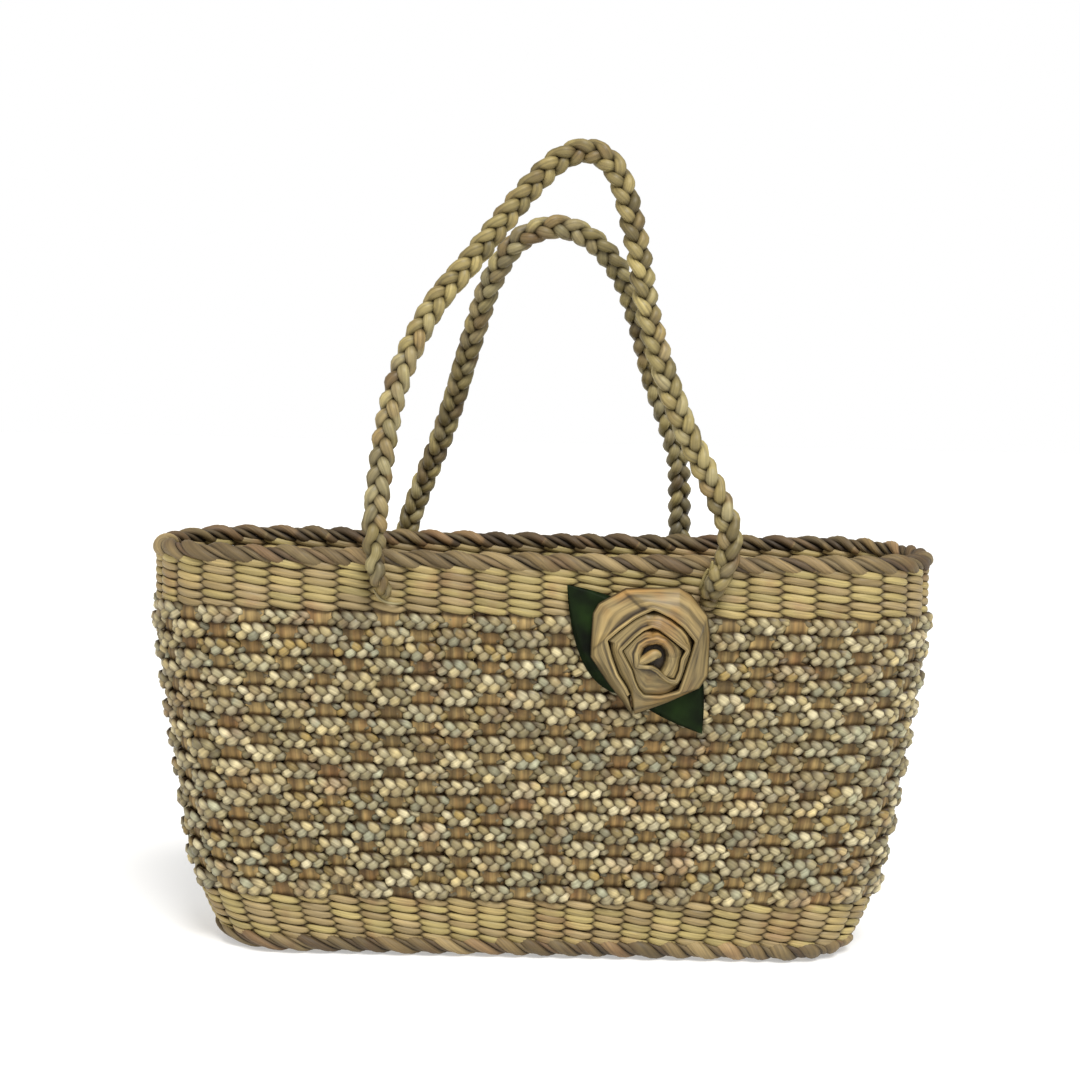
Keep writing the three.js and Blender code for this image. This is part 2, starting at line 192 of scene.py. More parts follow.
def add_node(tree, kind, inputs=None, **settings):
    """Adds a node with its settings, and sets each socket to a value or links it to an output."""
    node = tree.nodes.new(kind)
    for key, value in settings.items():
        setattr(node, key, value)
    for socket, value in (inputs or {}).items():
        if isinstance(value, bpy.types.NodeSocket):
            tree.links.new(value, node.inputs[socket])
        else:
            node.inputs[socket].default_value = value
    return node


def dried_straw(name, colours, stain, gap, roughness=0.6, fibre=0.45, streak=0.2):
    """Dried plant leaf: a satin skin with fine fibres along it.

    Each strand's own colour lies between the given ones, at its tint. It is stained in patches a few
    centimetres wide, brightened by its tone, streaked along its length by noise stretched 40 times,
    one streak a fibre wide, and turns to the gap colour where shade is painted into its creases and
    gaps.
    """
    material = bpy.data.materials.new(name)
    material.use_nodes = True
    tree = material.node_tree
    tree.nodes.clear()
    tint = add_node(tree, "ShaderNodeAttribute", attribute_name="tint")
    tone = add_node(tree, "ShaderNodeAttribute", attribute_name="tone")
    painted_shade = add_node(tree, "ShaderNodeAttribute", attribute_name="painted_shade")
    ramp = add_node(tree, "ShaderNodeValToRGB", {"Fac": tint.outputs["Fac"]})
    stops = ramp.color_ramp.elements
    for at, colour in zip(np.linspace(0, 1, len(colours)), colours):
        stop = stops[0] if at == 0 else stops[-1] if at == 1 else stops.new(at)
        stop.color = linear(colour)
    way = add_node(tree, "ShaderNodeUVMap", uv_map="straw")
    fibre_scale = 10 / fibre
    stretched = add_node(
        tree,
        "ShaderNodeMapping",
        {"Vector": way.outputs["UV"], "Scale": (fibre_scale / 40, fibre_scale / 2, 1)},
    )
    fibres = add_node(
        tree, "ShaderNodeTexNoise", {"Vector": stretched.outputs["Vector"], "Scale": 1.0, "Detail": 3.0}
    )
    place = add_node(tree, "ShaderNodeTexCoord")
    blotches = add_node(
        tree, "ShaderNodeTexNoise", {"Vector": place.outputs["Object"], "Scale": 45.0, "Detail": 2.0}
    )
    stained = add_node(
        tree,
        "ShaderNodeMapRange",
        {
            "Value": blotches.outputs["Fac"],
            "From Min": 0.54,
            "From Max": 0.72,
            "To Min": 0.0,
            "To Max": 0.55,
        },
    )
    skin = add_node(
        tree,
        "ShaderNodeMix",
        {0: stained.outputs["Result"], 6: ramp.outputs["Color"], 7: linear(stain)},
        data_type="RGBA",
    )
    bright = add_node(
        tree, "ShaderNodeMapRange", {"Value": tone.outputs["Fac"], "To Min": 0.55, "To Max": 1.12}
    )
    streaked = add_node(
        tree,
        "ShaderNodeMapRange",
        {
            "Value": fibres.outputs["Fac"],
            "From Min": 0.3,
            "From Max": 0.7,
            "To Min": 1 - 1.3 * streak,
            "To Max": 1 + 0.7 * streak,
        },
    )
    value = add_node(
        tree,
        "ShaderNodeMath",
        {0: bright.outputs["Result"], 1: streaked.outputs["Result"]},
        operation="MULTIPLY",
    )
    lit = add_node(
        tree, "ShaderNodeHueSaturation", {"Color": skin.outputs[2], "Value": value.outputs[0]}
    )
    # Painted shade: the gap colour is mixed in where the crease attribute falls towards 0
    colour = add_node(
        tree,
        "ShaderNodeMix",
        {0: painted_shade.outputs["Fac"], 6: linear(gap), 7: lit.outputs["Color"]},
        data_type="RGBA",
    )
    dull = add_node(
        tree,
        "ShaderNodeMapRange",
        {"Value": fibres.outputs["Fac"], "To Min": roughness - 0.12, "To Max": roughness + 0.12},
    )
    relief = add_node(
        tree, "ShaderNodeBump", {"Height": fibres.outputs["Fac"], "Strength": 0.7, "Distance": 0.0004}
    )
    shader = add_node(
        tree,
        "ShaderNodeBsdfPrincipled",
        {
            "Base Color": colour.outputs[2],
            "Roughness": dull.outputs["Result"],
            "Normal": relief.outputs["Normal"],
            "IOR": 1.45,
        },
    )
    add_node(tree, "ShaderNodeOutputMaterial", {"Surface": shader.outputs["BSDF"]})
    return material


# Golden-brown rush leaf, dull, with lines of painted shade where the leaves of a bundle meet
stake_rush = dried_straw(
    "rush_leaf_stakes",
    ["#94794A", "#B29660", "#C4A76C", "#B49058", "#A48752"],
    "#95633E",
    "#37250F",
    roughness=0.66,
    fibre=0.75,
    streak=0.3,
)

stake_levels = np.concatenate(
    [
        np.linspace(STAKE_FROM, BRAID_FROM, 6)[:-1],
        BRAID_FROM + np.arange(4 * BRAID_ROWS + 1) * BRAID_PITCH / 4,
        np.linspace(BRAID_TOP, STAKE_TO, 6)[1:],
    ]
)
# Section of a bundle, once round: shares of its half width, offsets in millimetres, which of the three
# leaves a point is on, its outer or inner side, and the painted shade in the grooves between the leaves
bundle_across = np.array([-1, -0.68, -0.34, 0, 0.34, 0.68, 1, 0.68, 0.34, 0, -0.34, -0.68])
bundle_offset = np.array([0, 1.15, 0.7, 1.2, 0.7, 1.15, 0, -1.15, -0.8, -1.2, -0.8, -1.15])
bundle_leaf = np.array([0, 0, 0, 1, 1, 2, 2, 2, 1, 1, 0, 0])
bundle_side = np.array([0, 1, 1, 1, 1, 1, 0, -1, -1, -1, -1, -1])
bundle_groove_shade = np.array([0.4, 1, 0.45, 1, 0.45, 1, 0.4, 1, 0.45, 1, 0.45, 1])

rng = np.random.default_rng(3)
stake = np.arange(STAKE_COUNT)[:, None, None]
level = stake_levels[None, :, None]
in_wall = smooth_step(level, BRAID_FROM - 3, BRAID_FROM + 1)
in_wall = in_wall - smooth_step(level, BRAID_TOP - 1, BRAID_TOP + 3)
in_patch = np.cos(np.pi * (stake + (level - BRAID_FROM) / BRAID_PITCH - 0.5))
bulge = in_wall * (0.1 + 0.75 * in_patch)
column_width = np.array([wall_length(z) for z in stake_levels])[None, :, None] / STAKE_COUNT
half_width = column_width * BUNDLE_SHARE * (1 + 0.02 * rng.normal(size=(STAKE_COUNT, 1, 1)))
across = bundle_across * half_width + 0.4 * rng.normal(size=(STAKE_COUNT, 1, 1))
stake_points = wall_point(
    level,
    (stake - 0.5 + across / column_width) / STAKE_COUNT,
    bulge + bundle_offset * (0.6 + 0.4 * in_wall),
)
leaf_tints = rng.uniform(0, 1, (STAKE_COUNT, 3))[:, None, bundle_leaf]
leaf_tones = rng.uniform(0.2, 0.75, (STAKE_COUNT, 3))[:, None, bundle_leaf]
row_at = np.clip(((stake_levels - BRAID_FROM) // BRAID_PITCH).astype(int), 0, BRAID_ROWS - 1)
patch_change = rng.uniform(-1, 1, (2, STAKE_COUNT, BRAID_ROWS))[:, :, row_at, None]
# Painted shade: the grooves between the leaves, and the side of each stake that lies against or under the
# weave, darken towards the gap colour
stakes = lay_strands(
    "stakes",
    stake_points,
    {
        "tint": np.clip(leaf_tints + 0.3 * patch_change[0], 0, 1),
        "tone": np.clip(leaf_tones + 0.25 * patch_change[1], 0, 1),
        "painted_shade": bundle_groove_shade
        * (0.15 + 0.85 * smooth_step(bundle_side * in_patch * in_wall, -0.1, 0.75)),
    },
    step=2.4,
    girth=30,
    endless=False,
)
stakes.data.materials.append(stake_rush)
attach(stakes, "root")
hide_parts("braid_wall")


# Braid rows. Each of the nineteen rows of the wall is one flat braid of three strands of rush, woven
# over one stake and behind the next, so that plump humps of braid and patches of stake make a
# checkerboard. Seen from outside, the strands point to the right like arrowheads.
BRAID_LIFT = 3.6
PLAIT_PERIOD = 18.4
PLAIT_SWING = 2.95
PLAIT_DEPTH = 1.5
STRAND_HALF_WIDTH = 2.55
STRAND_HALF_THICKNESS = 1.9
STRAND_SIDES = 7
STEPS_PER_PERIOD = 12

# Pale grassy straw: cream, olive and a few grey-green strands side by side, with a soft gloss
braid_straw = dried_straw(
    "plaited_rush_straw",
    ["#9A8E66", "#BEB186", "#D3C8A2", "#C8B682", "#AE9F76", "#ABAB8E", "#A08950"],
    "#98704A",
    "#301F0A",
    roughness=0.52,
    streak=0.24,
)


def headings(line, length):
    """Direction of endless lines at each point: the point after it, less the point before it.

    A line's first column is the way along the wall, which starts again after one length, so that
    difference is brought to between minus and plus half a length.
    """
    gap = np.roll(line, -1, axis=-2) - np.roll(line, 1, axis=-2)
    gap[..., 0] = (gap[..., 0] + length / 2) % length - length / 2
    return gap


def strand_rings(centre, tangent, face, half_width, half_thickness, sides):
    """Rings of oval tubes about centre lines.

    The width axis is the face's direction crossed with the tangent, and the thickness axis is the
    tangent crossed with the width axis. A ring's point is the centre, plus half the width times the
    cosine, plus half the thickness times the sine, along these axes.
    """
    tangent = tangent / np.linalg.norm(tangent, axis=-1, keepdims=True)
    wide = np.cross(face, tangent)
    wide /= np.linalg.norm(wide, axis=-1, keepdims=True)
    thick = np.cross(tangent, wide)
    angle = 2 * np.pi * np.arange(sides)[:, None] / sides
    return (
        centre[..., None, :]
        + wide[..., None, :] * half_width[..., None, None] * np.cos(angle)
        + thick[..., None, :] * half_thickness[..., None, None] * np.sin(angle)
    )


def onto_wall(rings, length):
    """Rings whose columns are the way along the wall, the level and the offset, as real points."""
    return wall_point(rings[..., 1], rings[..., 0] / length, rings[..., 2])


def leaf_values(rng, strands, count, length, spread):
    """Values for count places along each strand: one for each leaf, length places long, and a change
    of up to spread from place to place."""
    leaves = rng.uniform(0, 1, (strands, count // length + 1)).repeat(length, axis=1)[:, :count]
    return np.clip(leaves + rng.uniform(-spread, spread, (strands, count)), 0, 1)


for row in range(BRAID_ROWS):
    rng = np.random.default_rng(100 + row)
    level = BRAID_FROM + (row + 0.5) * BRAID_PITCH
    length = wall_length(level)
    periods = round(length / PLAIT_PERIOD)
    count = periods * STEPS_PER_PERIOD
    way = np.arange(count) / count

    # The braid's middle goes over one stake and behind the next, and swells a little on each hump
    column = way * STAKE_COUNT + 0.5
    swing = -np.cos(np.pi * (column + row))
    lift = swing + 0.25 * (1 - swing**2)
    humps = np.resize(rng.normal(1, 0.07, STAKE_COUNT), STAKE_COUNT + 1)
    plump = np.interp(column, np.arange(STAKE_COUNT + 1), humps)
    path = 0.5 + BRAID_LIFT * lift * plump
    spine = np.stack([way * length, np.full(count, level), path], axis=-1)
    heading = headings(spine, length)
    tilt = np.arctan2(heading[:, 2], heading[:, 0])
    face = np.stack([-np.sin(tilt), np.zeros(count), np.cos(tilt)], axis=-1)
    drift = 0.35 * np.sin(2 * np.pi * (3 * way + rng.uniform()))
    drift = drift + 0.3 * np.sin(2 * np.pi * (11 * way + rng.uniform()))

    # Its strands follow each other a third of a period apart, up and down, and cross in depth
    phase = 2 * np.pi * (periods * way + np.arange(3)[:, None] / 3 + rng.uniform())
    spread = (0.87 + 0.15 * smooth_step(swing, -0.2, 0.9)) * plump
    sideways = PLAIT_SWING * spread * np.sin(phase)
    depth = -PLAIT_DEPTH * np.sin(2 * phase)
    centre = np.stack(
        [
            way * length - depth * np.sin(tilt),
            level + drift + sideways,
            path + depth * np.cos(tilt),
        ],
        axis=-1,
    )
    fat = 0.88 + 0.2 * np.abs(np.sin(2 * phase))
    rings = strand_rings(
        centre,
        headings(centre, length),
        face,
        STRAND_HALF_WIDTH * spread * fat,
        STRAND_HALF_THICKNESS * fat,
        STRAND_SIDES,
    )
    proud = np.abs((rings - spine[:, None]) @ face[:, :, None])[..., 0]
    petal = np.floor(phase / (np.pi / 2) + 1e-6).astype(int) % (4 * periods)
    strand = np.arange(3)[:, None]
    # Painted shade: the strands darken towards the gap colour where they dip into the braid and close to
    # the wall
    braid = lay_strands(
        f"braid_row_{row + 1:02d}",
        onto_wall(rings, length),
        {
            "tint": leaf_values(rng, 3, 4 * periods, 30, 0.2)[strand, petal][..., None],
            "tone": leaf_values(rng, 3, 4 * periods, 9, 0.4)[strand, petal][..., None],
            "painted_shade": smooth_step(proud, 0.7, 3.5) * smooth_step(np.abs(rings[..., 2]), 0.2, 3.4),
        },
        step=length / count,
        girth=13,
        endless=True,
    )
    braid.data.materials.append(braid_straw)
    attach(braid, "root")
    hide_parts("braid_wall")


# Twined bands. Five rows of paired weft close the wall below and five above the braids, and a sixth
# is half hidden under each border. Two flat straws cross between every two stakes and take turns in
# front, so each stake column shows one lens-shaped straw a row, higher on its left than on its right.
WEFT_ROWS = 6
WEFT_SWING = 2.6
WEFT_SLANT = 1.05
WEFT_STEPS = 8
WEFT_SIDES = 8

# Split rush straw, flat and khaki, with grey and rosy leaves here and there
band_straw = dried_straw(
    "twined_rush_straw",
    ["#A3915C", "#AB9A62", "#B3A168", "#AC9762", "#A69166", "#9F8B60", "#998458"],
    "#8C6442",
    "#2A1C0C",
    roughness=0.56,
    streak=0.24,
)

for name, bottom, pitch, seed, node in (
    ("lower_band_weft", 8.5, 4.3, 23, "lower_band"),
    ("upper_band_weft", 198.3, 4.55, 213, "upper_band"),
):
    rng = np.random.default_rng(seed)
    count = STAKE_COUNT * WEFT_STEPS
    way = np.arange(count) / count
    column = way * STAKE_COUNT + 0.5
    length = wall_length(bottom + WEFT_ROWS / 2 * pitch)
    row = np.arange(WEFT_ROWS)[:, None, None]
    turn = np.pi * column + np.pi * np.arange(2)[:, None]
    swing = np.cos(turn)
    drift = 0.3 * np.sin(2 * np.pi * (5 * way + rng.uniform(size=(WEFT_ROWS, 1, 1))))
    drift = drift + 0.25 * np.sin(2 * np.pi * (17 * way + rng.uniform(size=(WEFT_ROWS, 1, 1))))
    centre = np.stack(
        np.broadcast_arrays(
            way * length,
            bottom + (row + 0.5) * pitch + drift - WEFT_SLANT * np.sin(turn),
            WEFT_SWING * swing * (1.3 - 0.3 * swing**2),
        ),
        axis=-1,
    )
    wefts_in_all = 2 * WEFT_ROWS
    centre = centre.reshape(wefts_in_all, count, 3)
    full = np.tile(np.abs(swing), (WEFT_ROWS, 1)) ** 0.7
    half_height = pitch * (0.34 + 0.2 * full)
    rings = strand_rings(
        centre, headings(centre, length), [0, 0, 1], half_height, 1.15 + 0.3 * full, WEFT_SIDES
    )
    lens = (np.floor(column + 0.5).astype(int) % STAKE_COUNT)[None]
    strand = np.arange(wefts_in_all)[:, None]
    tints = leaf_values(rng, wefts_in_all, STAKE_COUNT, 4, 0.25)
    tones = leaf_values(rng, wefts_in_all, STAKE_COUNT, 3, 0.35)
    # Painted shade: each weft darkens along its upper and lower edges, where the rows meet, and close to
    # the wall
    painted_edge_shade = 1 - 0.5 * np.abs(np.cos(2 * np.pi * np.arange(WEFT_SIDES) / WEFT_SIDES)) ** 6
    wefts = lay_strands(
        name,
        onto_wall(rings, length),
        {
            "tint": tints[strand, lens][..., None],
            "tone": 0.3 + 0.48 * tones[strand, lens][..., None],
            "painted_shade": painted_edge_shade * smooth_step(np.abs(rings[..., 2]), 0.1, 2.1),
        },
        step=length / count,
        girth=12,
        endless=True,
    )
    wefts.data.materials.append(band_straw)
    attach(wefts, "root")
    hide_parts(node)


# Borders. At the rim and at the foot the stake ends are bent down and plaited into a rope round a core
# of bent ends. One lobe lies over each stake and falls to the right seen from outside, with a thin
# strand in the furrow beside it. Handling and damp have turned them greyer and browner than the wall.
FOOT_LEVEL = 6.25
RIM_LEVEL = 227.85
LOBE_REACH = 3.3
THIN_REACH = 2.9
THIN_TURN = 0.27
LOBE_HALF = 2.75
THIN_HALF = 1.75
CORE_HALF = 2.3
ROPE_SIDES = 9
ROPE_STEPS = 20

# Twisted rush, grey-brown and rubbed, with painted black-brown shade in the gaps between the lobes
border_straw = dried_straw(
    "twisted_rush_borders",
    ["#75623F", "#8D7A54", "#806B46", "#9C875C", "#8A6E4B", "#695539"],
    "#62422A",
    "#1C140A",
    roughness=0.64,
    fibre=0.6,
    streak=0.3,
)

for name, level, seed, node in (
    ("foot_rope", FOOT_LEVEL, 18, "foot_border"),
    ("rim_rope", RIM_LEVEL, 20, "rim_border"),
):
    rng = np.random.default_rng(seed)
    turns = STAKE_COUNT // 2
    count = turns * ROPE_STEPS
    way = np.arange(count) / count
    length = wall_length(level)
    strand = np.arange(5)[:, None]
    is_lobe, is_core = strand < 2, strand == 4
    wander = 0.25 * np.sin(2 * np.pi * (7 * way + rng.uniform()))
    wander = wander + 0.15 * np.sin(2 * np.pi * (19 * way + rng.uniform()))
    angle = 2 * np.pi * (strand / 2 + THIN_TURN * (strand > 1) - turns * way) + wander
    angle = angle - 0.12 * np.sin(angle)
    outwards = np.stack([0 * angle, np.sin(angle), np.cos(angle)], axis=-1)
    axis_line = np.stack(np.broadcast_arrays(way * length, level + 0 * angle, 0 * angle), axis=-1)
    reach = np.where(is_core, 0, np.where(is_lobe, LOBE_REACH, THIN_REACH))
    centre = axis_line + reach[..., None] * outwards
    lobe = (turns * way + strand / 2) % turns
    plump = np.stack(
        [
            np.interp(one, np.arange(turns + 1), np.resize(rng.normal(1, 0.07, turns), turns + 1))
            for one in lobe
        ]
    )
    lobe_half = (LOBE_HALF + 0.45 * np.cos(angle - 1.0)) * plump
    fat = np.where(is_lobe, lobe_half, np.where(is_core, CORE_HALF, THIN_HALF * plump))
    rings = strand_rings(centre, headings(centre, length), outwards, fat * 1.06, fat * 0.96, ROPE_SIDES)
    from_axis = np.hypot(rings[..., 1] - level, rings[..., 2])
    knot = np.floor(lobe + 0.5).astype(int) % turns
    tints = leaf_values(rng, 5, turns, 2, 0.5)
    tones = leaf_values(rng, 5, turns, 1, 0.3)
    # Painted shade: the core is painted all in the gap colour, and the other strands darken towards the
    # rope's axis
    rope = lay_strands(
        name,
        onto_wall(rings, length),
        {
            "tint": tints[strand, knot][..., None],
            "tone": (np.where(is_lobe, 1.0, 0.6) * tones[strand, knot])[..., None],
            "painted_shade": np.where(is_core, 0.0, 1.0)[..., None] * smooth_step(from_axis, 3.3, 5.2),
        },
        step=length / count,
        girth=19,
        endless=True,
    )
    rope.data.materials.append(border_straw)
    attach(rope, "root")
    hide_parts(node)


# Bottom. A flat mat of rush straps in plain weave, whose edges the foot rope binds. Only its inside
# shows through the mouth, and its underside when the bag is lifted.
STRAP_WIDTH = 9.6
STRAP_HALF_THICKNESS = 0.95
STRAP_SWING = 1.1
STRAP_SIDES = 8
MAT_MIDDLE = 2.9
MAT_INSET = 2.8

# Flat plaited rush, the plainest and dullest straw on the bag
mat_straw = dried_straw(
    "woven_rush_mat",
    ["#8E7B4C", "#A8935C", "#B39F6C", "#9A8253"],
    "#735336",
    "#2A1D0E",
    roughness=0.68,
    fibre=0.8,
)

half_length, half_depth, corner = (float(value) - MAT_INSET for value in wall_section(FOOT_LEVEL)[:3])
strap_angle = 2 * np.pi * np.arange(STRAP_SIDES) / STRAP_SIDES
for name, long_half, cross_half, turned in (
    ("mat_long_straps", half_length, half_depth, False),
    ("mat_cross_straps", half_depth, half_length, True),
):
    rng = np.random.default_rng(40 + turned)
    straps = int(2 * cross_half / STRAP_WIDTH)
    pitch = 2 * cross_half / straps
    crossings = int(2 * long_half / STRAP_WIDTH)
    spot = (np.arange(straps) - (straps - 1) / 2) * pitch
    past_corner = np.clip(np.abs(spot) + STRAP_WIDTH / 4 - (cross_half - corner), 0, corner)
    reach = long_half - corner + np.sqrt(corner**2 - past_corner**2)
    run = np.linspace(-1, 1, crossings * 3 + 1) * reach[:, None]
    other = run / (2 * long_half / crossings) + (crossings - 1) / 2
    wave = np.cos(np.pi * (other + np.arange(straps)[:, None])) * (-1 if turned else 1)
    sideways = spot[:, None, None] + pitch / 2 * np.cos(strap_angle) * np.ones_like(run)[..., None]
    height = MAT_MIDDLE + STRAP_SWING * wave[..., None] + STRAP_HALF_THICKNESS * np.sin(strap_angle)
    forwards = np.broadcast_to(run[..., None], sideways.shape)
    if turned:
        strap_points = np.stack([sideways, forwards, height], axis=-1)[:, :, ::-1]
    else:
        strap_points = np.stack([forwards, sideways, height], axis=-1)
    # Painted shade: the straps darken near the mat's middle plane, where they pass under each other
    mat = lay_strands(
        name,
        strap_points,
        {
            "tint": rng.uniform(0, 1, (straps, 1, 1)),
            "tone": rng.uniform(0.2, 0.9, (straps, 1, 1)),
            "painted_shade": 0.35 + 0.65 * smooth_step(np.abs(height - MAT_MIDDLE), 0.6, 1.8),
        },
        step=STRAP_WIDTH / 3,
        girth=20,
        endless=False,
    )
    mat.data.materials.append(mat_straw)
    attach(mat, "root")
    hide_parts("base_mat")


# Handles. Each is one thick braid of three rush strands, whose thinned ends go through the upper
# band and are held inside. The braid stands up beside the rim and then leans towards the middle.
HANDLE_DIAMETER = 13.8
HANDLE_END_DIAMETER = 8.6
HANDLE_HALF_SPAN = 86.0
HOLE_LEVEL = 208.3
HANDLE_PERIOD = 31.0
HANDLE_SWING = 3.95
HANDLE_DEPTH = 2.5
LEAN_FROM = 0.13
LEAN_CURVE = 1.25
RIM_HALF = 6.5
PIECE_GAP = 0.3
TUCK_INSIDE = 13.0

# Shares of the half span and of the rise above the holes, left to right
front_course = np.array(
    [
        [-1.045, 0.045],
        [-1.062, 0.13],
        [-1.048, 0.21],
        [-0.998, 0.365],
        [-0.93, 0.477],
        [-0.832, 0.566],
        [-0.696, 0.656],
        [-0.494, 0.745],
        [-0.095, 0.927],
        [0.059, 0.979],
        [0.216, 1],
        [0.343, 0.984],
        [0.433, 0.942],
        [0.547, 0.799],
        [0.648, 0.61],
        [0.857, 0.396],
        [1.095, 0.224],
        [1.165, 0.158],
        [1.158, 0.095],
        [1.1, 0.042],
    ]
)
back_course = np.array(
    [
        [-0.975, 0.05],
        [-0.96, 0.115],
        [-0.846, 0.257],
        [-0.733, 0.379],
        [-0.638, 0.499],
        [-0.558, 0.616],
        [-0.476, 0.731],
        [-0.376, 0.852],
        [-0.204, 0.96],
        [0.04, 1],
        [0.272, 0.97],
        [0.488, 0.871],
        [0.617, 0.741],
        [0.739, 0.569],
        [0.85, 0.452],
        [0.937, 0.332],
        [0.961, 0.211],
        [0.97, 0.115],
        [0.98, 0.05],
    ]
)

# Olive and cream rush, rubbed smooth by hands
handle_straw = dried_straw(
    "braided_rush_handles",
    ["#7A6C42", "#918252", "#A3945E", "#9B9068", "#88744A"],
    "#64482C",
    "#1F160B",
    roughness=0.52,
    fibre=0.7,
    streak=0.3,
)


def read_between(at, places, table):
    """The table's columns at some places, on straight lines between its rows."""
    return np.stack([np.interp(at, places, column) for column in table.T], axis=-1)


def smoothed(values, weights):
    """Weighted running mean down each column, whose ends are held."""
    half = len(weights) // 2
    return np.apply_along_axis(
        lambda column: np.convolve(np.pad(column, half, mode="edge"), weights, "valid"), 0, values
    )


def handle_line(side, course, rise, apex, right_end):
    """Centre line of a handle, 2400 points at even steps, and its length.

    The knots run from inside the wall through the left hole, along the course and back in through
    the hole at right_end. The curve through them is a centripetal Catmull-Rom spline: each stretch
    is a cubic whose end slopes come from the knots around it, timed by the square root of their
    distances.
    """
    _, half_depth, _, bow = (float(value) for value in wall_section(RIM_LEVEL))
    outside = half_depth + bow + RIM_HALF + PIECE_GAP + HANDLE_DIAMETER / 2
    across, up = course.T
    lean = np.maximum((up - LEAN_FROM) / (1 - LEAN_FROM), 0) ** LEAN_CURVE
    middle = np.stack(
        [
            across * HANDLE_HALF_SPAN,
            side * (outside + (apex - outside) * lean),
            HOLE_LEVEL + up * rise,
        ],
        axis=-1,
    )
    tuck = np.array(
        [
            [HANDLE_HALF_SPAN, side * (half_depth - TUCK_INSIDE), HOLE_LEVEL],
            [HANDLE_HALF_SPAN, side * (half_depth + bow), HOLE_LEVEL],
            [HANDLE_HALF_SPAN, side * (outside - HANDLE_DIAMETER / 2), HOLE_LEVEL + 1],
        ]
    )
    tuck_right = tuck[::-1] * [right_end / HANDLE_HALF_SPAN, 1, 1]
    knots = np.vstack([tuck * [-1, 1, 1], middle, tuck_right])
    knots = np.vstack([2 * knots[0] - knots[1], knots, 2 * knots[-1] - knots[-2]])
    a, b, c, d = knots[:-3], knots[1:-2], knots[2:-1], knots[3:]
    wait = np.sqrt(np.linalg.norm(np.diff(knots, axis=0), axis=1))[:, None]
    first, second, third = wait[:-2], wait[1:-1], wait[2:]
    leave = second * ((b - a) / first - (c - a) / (first + second) + (c - b) / second)
    arrive = second * ((c - b) / second - (d - b) / (second + third) + (d - c) / third)
    t = np.linspace(0, 1, 60, endpoint=False)[None, :, None]
    b, c, leave, arrive = (value[:, None] for value in (b, c, leave, arrive))
    line = np.vstack([cubic(b, c, leave, arrive, t).reshape(-1, 3), knots[-2]])
    run = np.concatenate([[0], np.cumsum(np.linalg.norm(np.diff(line, axis=0), axis=1))])
    return read_between(np.linspace(0, run[-1], 2400), run, line), run[-1]


for name, side, course, rise, apex, right_end, shade, seed in (
    ("front_handle_braid", -1, front_course, 240.5, 50, 91.0, 1.0, 71),
    ("back_handle_braid", 1, back_course, 202.0, 0, 86.0, 0.7, 72),
):
    rng = np.random.default_rng(seed)
    line, length = handle_line(side, course, rise, apex, right_end)
    count = round(length / HANDLE_PERIOD * 20)
    way = np.linspace(0, 1, count)
    spine = read_between(way, np.linspace(0, 1, len(line)), line)
    heading = np.gradient(spine, axis=0)
    heading /= np.linalg.norm(heading, axis=1, keepdims=True)

    # The braid's flat face looks forwards and turns a little from side to side, and it turns out of
    # the way where the front handle goes in at the left
    flat = heading * [1, 0, 1] + np.stack([0 * way, 0 * way, 0.08 * np.cos(np.pi * way)], axis=-1)
    wide = np.cross([0, side, 0], flat)
    wide -= heading * np.sum(wide * heading, axis=1, keepdims=True)
    wide /= np.linalg.norm(wide, axis=1, keepdims=True)
    front = np.cross(heading, wide)
    twist = 0.5 * np.sin(2 * np.pi * (2.3 * way + rng.uniform()))
    if side < 0:
        twist += 1.35 * (1 - smooth_step(way * length, 35, 80))
    twist = twist[:, None]
    wide, front = (
        wide * np.cos(twist) + front * np.sin(twist),
        front * np.cos(twist) - wide * np.sin(twist),
    )

    # Towards its ends the braid is thinner and pulled tight, so its strands turn faster
    from_end = np.minimum(way, 1 - way) * length
    size = HANDLE_END_DIAMETER + (HANDLE_DIAMETER - HANDLE_END_DIAMETER) * smooth_step(from_end, 13, 39)
    size = size / HANDLE_DIAMETER
    tightened = smooth_step(way * length, 0, 45) + smooth_step(way * length, length - 45, length)
    turns = way * length / HANDLE_PERIOD + 0.65 * tightened
    phase = 2 * np.pi * (turns + np.arange(3)[:, None] / 3 + rng.uniform())
    sideways = HANDLE_SWING * size * np.sin(phase)
    depth = -HANDLE_DEPTH * size * np.sin(2 * phase)
    centre = spine + wide * sideways[..., None] + front * depth[..., None]
    fat = size * (0.86 + 0.18 * np.abs(np.sin(2 * phase)))
    rings = strand_rings(centre, np.gradient(centre, axis=1), front, 3.3 * fat, 2.9 * fat, 12)
    off_spine = (rings - spine[:, None]) / size[:, None, None]
    off_sideways = np.sum(off_spine * wide[:, None], axis=-1)
    off_front = np.sum(off_spine * front[:, None], axis=-1)
    from_axis = np.hypot(off_sideways * 0.8, off_front)
    # Painted shade: the back handle is made darker all over by its shade, its creases darker still
    # towards its right end, and each braid darkens towards its middle
    painted_end_shade = 1 - (1 - shade) * 2.2 * (1 - smooth_step((1 - way) * length, 25, 95))
    petals = int(phase.max() / (np.pi / 2)) + 2
    petal = np.floor(phase / (np.pi / 2) + 1e-6).astype(int)
    strand = np.arange(3)[:, None]
    handle = lay_strands(
        name,
        rings,
        {
            "tint": leaf_values(rng, 3, petals, 14, 0.2)[strand, petal][..., None],
            "tone": shade * leaf_values(rng, 3, petals, 7, 0.3)[strand, petal][..., None],
            "painted_shade": smooth_step(from_axis, 2.0, 4.9) * painted_end_shade[:, None],
        },
        step=length / count,
        girth=19,
        endless=False,
    )
    handle.data.materials.append(handle_straw)
    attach(handle, "root")
    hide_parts("handle_front" if side < 0 else "handle_back")

